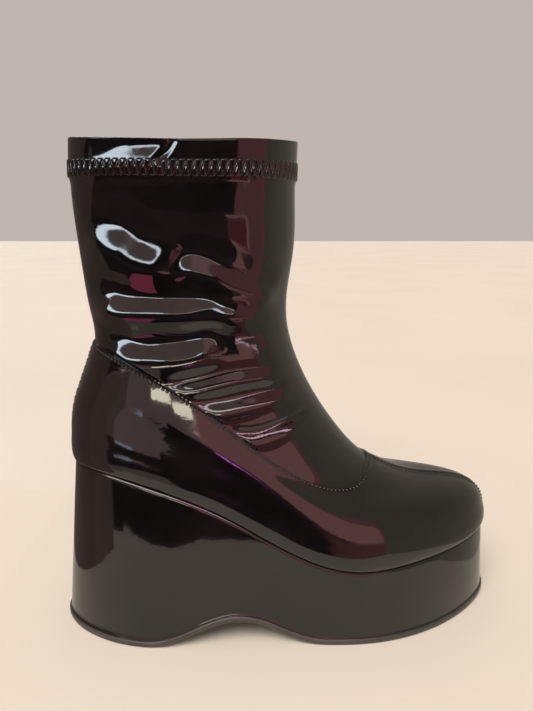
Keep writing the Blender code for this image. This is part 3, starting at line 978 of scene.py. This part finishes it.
# Reflector cards, sheets that glow, stand round the boot like the sides of a small booth, open to the
# camera, with a ledge across the front at ankle height. Only gloss sees them, so their glow is painted
# reflection of lit walls, floor, ledge and lamps. A card is a flat sheet whose colour runs through its (y,
# colour) stops; where the colour falls off from the booth's front inwards, that is painted shade.
CARD_LEFT, CARD_RIGHT = -0.176, 0.164
CARD_FRONT, CARD_BACK = -0.166, 0.137
CARD_TOP = 0.360
LEDGE_Z, LEDGE_NEAR, LEDGE_FAR = 0.152, -0.0605, -0.500
LEDGE_LEFT, LEDGE_RIGHT = -1.600, -0.015
LEDGE_GAP = 0.001
Card = namedtuple("Card", "name corners stops")


def level_card(x_ends, y_ends, z):
    (x0, x1), (y0, y1) = x_ends, y_ends
    return (x0, y0, z), (x1, y0, z), (x1, y1, z), (x0, y1, z)


def side_card(x, y_ends, z_ends):
    (y0, y1), (z0, z1) = y_ends, z_ends
    return (x, y0, z0), (x, y1, z0), (x, y1, z1), (x, y0, z1)


def facing_card(x_ends, y, z_ends):
    (x0, x1), (z0, z1) = x_ends, z_ends
    return (x0, y, z0), (x1, y, z0), (x1, y, z1), (x0, y, z1)


def plain(colour):
    """Stops for a card of one colour."""
    return (-1.0, colour), (1.0, colour)


BOOTH_X = (CARD_LEFT, CARD_RIGHT)
BOOTH_Z = (0.0, CARD_TOP)
LEDGE_X = (LEDGE_LEFT, LEDGE_RIGHT)
MAUVE = (0.66, 0.46, 0.44)
# Painted shade: the floor cards glow brighter at the booth's front and dimmer deeper inside
FLOOR_SHADE = ((CARD_FRONT, (0.74, 0.65, 0.55)), (0.02, (0.55, 0.48, 0.38)))
CARDS = (
    Card("card_floor", level_card(BOOTH_X, (CARD_FRONT, CARD_BACK), -0.0002),
         FLOOR_SHADE),
    Card("card_floor_left",
         ((CARD_LEFT, -0.150, 0), (-0.260, -0.090, 0), (-0.260, CARD_BACK, 0), (CARD_LEFT, CARD_BACK, 0)),
         FLOOR_SHADE),
    Card("card_floor_front",
         ((-0.066, CARD_FRONT, 0), (-0.036, -0.184, 0), (-0.014, -0.184, 0), (-0.002, CARD_FRONT, 0)),
         FLOOR_SHADE),
    Card("card_top", level_card(BOOTH_X, (-0.120, CARD_BACK), CARD_TOP),
         ((CARD_FRONT, (0.27, 0.24, 0.19)), (0.02, (0.24, 0.21, 0.17)))),
    Card("card_left", side_card(CARD_LEFT, (-0.059, CARD_BACK), BOOTH_Z),
         ((CARD_FRONT, (0.26, 0.20, 0.16)), (0.02, (0.14, 0.10, 0.085)))),
    Card("card_right", side_card(CARD_RIGHT, (-0.071, CARD_BACK), BOOTH_Z),
         ((CARD_FRONT, (0.28, 0.25, 0.19)), (0.02, (0.36, 0.32, 0.25)))),
    Card("card_left_low", side_card(CARD_LEFT, (-0.115, -0.059), (0.0, LEDGE_Z)),
         ((-0.115, (0.26, 0.20, 0.16)), (-0.059, (0.24, 0.18, 0.15)))),
    Card("card_right_low", side_card(CARD_RIGHT, (-0.175, -0.071), (0.0, 0.155)),
         ((-0.175, (0.34, 0.29, 0.23)), (-0.071, (0.34, 0.30, 0.23)))),
    Card("card_back", facing_card((-0.030, CARD_RIGHT), CARD_BACK, BOOTH_Z),
         plain((0.31, 0.28, 0.24))),
    Card("card_ledge_top", level_card(LEDGE_X, (LEDGE_FAR, LEDGE_NEAR), LEDGE_Z + LEDGE_GAP),
         ((-0.22, (0.060, 0.038, 0.034)), (-0.17, (0.008, 0.005, 0.006)))),
    Card("card_ledge_rim", level_card((-0.112, -0.072), (-0.090, LEDGE_NEAR), LEDGE_Z + 2 * LEDGE_GAP),
         plain((1.30, 0.20, 0.45))),
    Card("card_ledge_under", level_card(LEDGE_X, (LEDGE_FAR, LEDGE_NEAR), LEDGE_Z),
         plain(MAUVE)),
    Card("card_under_left", facing_card((LEDGE_LEFT, -0.480), LEDGE_FAR, (-0.040, LEDGE_Z)),
         plain((0.36, 0.25, 0.22))),
    Card("card_under_right", facing_card((-0.480, -0.130), LEDGE_FAR, (-0.064, LEDGE_Z)),
         plain(MAUVE)),
    Card("card_under_middle", facing_card((-0.130, 0.010), LEDGE_FAR, (-0.042, LEDGE_Z)),
         plain(MAUVE)),
    Card("card_under_pink", facing_card((0.010, 0.420), LEDGE_FAR, (-0.045, 0.190)),
         plain((1.22, 0.55, 0.53))),
    Card("card_vamp_top", level_card((0.050, CARD_RIGHT), (-0.300, -0.045), LEDGE_Z + 7 * LEDGE_GAP),
         plain((0.66, 0.25, 0.28))),
    Card("card_vamp_under", level_card((0.050, CARD_RIGHT), (-0.300, -0.045), LEDGE_Z + 6 * LEDGE_GAP),
         plain((0.32, 0.28, 0.22))),
    Card("card_under_strip", level_card(LEDGE_X, (-0.150, -0.088), LEDGE_Z - LEDGE_GAP),
         plain((6.0, 5.6, 5.6))),
    Card("card_rim_lid", level_card((LEDGE_RIGHT, 0.086), (-0.131, -0.089), LEDGE_Z - LEDGE_GAP),
         plain((0.20, 0.08, 0.09))),
    Card("card_rim_pink", level_card((LEDGE_RIGHT, 0.085), (-0.130, -0.090), LEDGE_Z - 2 * LEDGE_GAP),
         plain((7.0, 4.2, 5.4))),
    Card("card_shaft_dim", facing_card((-0.060, -0.010), -0.160, (0.175, 0.212)),
         plain((0.060, 0.038, 0.034))),
    Card("card_shaft_red", facing_card((-0.010, 0.080), -0.160, (0.189, 0.209)),
         plain((0.45, 0.08, 0.12))),
    Card("card_under_window", facing_card((-0.470, -0.290), -0.499, (-0.063, -0.046)),
         plain((1.6, 1.7, 2.4))),
    Card("card_under_lamp_left", facing_card((-0.140, -0.060), -0.300, (0.080, 0.112)),
         plain((9.0, 8.5, 6.4))),
    Card("card_under_lamp_right", facing_card((-0.056, -0.006), -0.300, (0.060, 0.086)),
         plain((9.0, 8.5, 6.4))),
    Card("card_under_glow", facing_card((-0.0130, -0.0050), -0.300, (0.000, 0.014)),
         plain((9.0, 1.4, 8.6))),
)


def build_cards():
    for card in CARDS:
        made = bpy.data.materials.new(card.name)
        made.use_nodes = True
        tree = made.node_tree
        tree.nodes.clear()
        depth = node(tree, "ShaderNodeSeparateXYZ")
        tree.links.new(place(tree), depth.inputs[0])
        near, far = card.stops[0][0], card.stops[-1][0]
        share = node(tree, "ShaderNodeMapRange")
        share.inputs["From Min"].default_value = near
        share.inputs["From Max"].default_value = far
        tree.links.new(depth.outputs["Y"], share.inputs["Value"])
        stops = [((y - near) / (far - near), colour) for y, colour in card.stops]
        # The card's colour is given out as glow: painted reflection and painted shade, not light from any
        # lamp
        glow = node(tree, "ShaderNodeEmission")
        tree.links.new(ramp(tree, share.outputs["Result"], *stops), glow.inputs["Color"])
        tree.links.new(glow.outputs[0], node(tree, "ShaderNodeOutputMaterial").inputs["Surface"])
        made_card = plane(card.name, list(card.corners), made)
        made_card.visible_camera = False
        made_card.visible_diffuse = False
        made_card.visible_shadow = False


Patch = namedtuple("Patch", "azimuth elevation soft colour strength")

# What the gloss sees through the open front of the booth, by direction from the boot, and the same again
# behind it. Azimuth is 0 towards the camera and grows to the toe's side, in degrees.
BACKDROP = (0.53, 0.46, 0.43)
DARK_FRONT = (0.006, 0.004, 0.005)
PATCHES = (
    Patch((-80, 16), (-16, 2), 4, (0.060, 0.038, 0.034), 1.0),  # dim zone straight ahead
    Patch((-85, 85), (-90, -43), 1.5, (0.42, 0.36, 0.29), 1.0),  # floor close to the boot
    Patch((-85, -8), (-43, -26), 0.6, (0.42, 0.36, 0.29), 1.0),  # floor farther out
    Patch((-85, 16), (29, 75), 1.2, (0.60, 0.44, 0.41), 1.0),  # mauve glow overhead
    Patch((-4, 18), (29, 75), 6, (1.15, 0.64, 0.64), 1.0),  # pinker glow overhead near the middle
    Patch((-80, -50), (-40, -15), 5, (0.46, 0.35, 0.29), 1.0),  # brown glow low on the heel's side
    Patch((-75, -30), (21, 30), 1.2, (0.75, 0.88, 1.0), 10.0),  # long lamp, its wide end
    Patch((-30, -8), (24, 29), 1.0, (0.80, 0.90, 1.0), 9.0),  # long lamp, its middle
    Patch((-8, 14), (25, 28), 0.8, (1.0, 0.90, 0.80), 3.0),  # long lamp, its thin end
    Patch((18, 90), (-38, 50), 2, (0.66, 0.25, 0.28), 1.0),  # burgundy glow on the toe's side
    Patch((8, 60), (-40, -14), 4, (0.40, 0.14, 0.14), 1.0),  # darker burgundy low down
    Patch((30, 36), (-4, 6), 2, (0.60, 0.46, 0.38), 1.0),  # pale gap in the burgundy
)


def math_node(tree, kind, first, second=None):
    made = node(tree, "ShaderNodeMath", operation=kind)
    for socket, value in zip(made.inputs, (first, second)):
        if isinstance(value, float):
            socket.default_value = value
        elif value is not None:
            tree.links.new(value, socket)
    return made.outputs[0]


def soft_step(tree, value, low, high):
    made = node(tree, "ShaderNodeMapRange", interpolation_type="SMOOTHSTEP")
    made.inputs["From Min"].default_value = low
    made.inputs["From Max"].default_value = high
    tree.links.new(value, made.inputs["Value"])
    return made.outputs["Result"]


def between(tree, value, ends, soft):
    """1 between two angles in degrees, with soft ends."""
    low, high, soft = (math.radians(angle) for angle in (*ends, soft))
    rising = soft_step(tree, value, low - soft, low + soft)
    falling = soft_step(tree, value, high - soft, high + soft)
    return math_node(tree, "SUBTRACT", rising, falling)


def mix_colours(tree, share, first, second):
    made = node(tree, "ShaderNodeMix", data_type="RGBA")
    for name, value in (("Factor", share), ("A", first), ("B", second)):
        socket = next(s for s in made.inputs if s.name == name and s.enabled)
        if isinstance(value, tuple):
            socket.default_value = (*value, 1.0)
        else:
            tree.links.new(value, socket)
    return next(s for s in made.outputs if s.enabled)


def build_world():
    """A plain backdrop to the eye and the floor, and a dark studio with soft lamps to the gloss."""
    world = bpy.data.worlds.new("studio")
    bpy.context.scene.world = world
    world.use_nodes = True
    tree = world.node_tree
    parts = node(tree, "ShaderNodeSeparateXYZ")
    tree.links.new(node(tree, "ShaderNodeTexCoord").outputs["Generated"], parts.inputs[0])
    towards = math_node(tree, "ABSOLUTE", parts.outputs["Y"])
    azimuth = math_node(tree, "ARCTAN2", parts.outputs["X"], towards)
    elevation = math_node(tree, "ARCSINE", parts.outputs["Z"])
    colour = DARK_FRONT
    for patch in PATCHES:
        inside = math_node(
            tree, "MULTIPLY", between(tree, azimuth, patch.azimuth, patch.soft),
            between(tree, elevation, patch.elevation, patch.soft),
        )
        colour = mix_colours(tree, inside, colour, tuple(c * patch.strength for c in patch.colour))
    gloss = node(tree, "ShaderNodeLightPath").outputs["Is Glossy Ray"]
    colour = mix_colours(tree, gloss, BACKDROP, colour)
    tree.links.new(colour, tree.nodes["Background"].inputs["Color"])


def build_key_light():
    light = bpy.data.lights.new("key", "SUN")
    light.angle = math.radians(35)
    light.energy = 2.55
    light.color = (1.0, 0.95, 0.88)
    lamp = link(bpy.data.objects.new("key", light))
    lamp.rotation_euler = (math.radians(30), math.radians(-14), 0)
    lamp.visible_glossy = False


IMAGE_LONG_SIDE = 711
FOCAL_PIXELS = 545


def build_camera():
    data = bpy.data.cameras.new("camera")
    data.sensor_width = 36.0
    data.lens = FOCAL_PIXELS / IMAGE_LONG_SIDE * data.sensor_width
    data.clip_start = 0.01
    camera = bpy.data.objects.new("camera", data)
    camera.location = (-0.0095, -0.296, 0.221)
    camera.rotation_euler = (math.radians(90 - 13.37), 0, 0)
    bpy.context.scene.collection.objects.link(camera)
    bpy.context.scene.camera = camera


quarter_last = Last(QUARTER_COLUMNS)
quarter_seam = seam_heights(QUARTER_COLUMNS)
hem_columns = zigzag_columns()

build_upper()
build_seam_band(hem_columns)
build_hem_thread(hem_columns)
build_quarters(quarter_last, quarter_seam)
build_stitching(quarter_last, quarter_seam)
build_wedge()
build_outsole()
build_insole()
build_floor()
build_cards()
build_world()
build_key_light()
build_camera()

bpy.context.scene.view_settings.view_transform = "Standard"
bpy.context.view_layer.update()
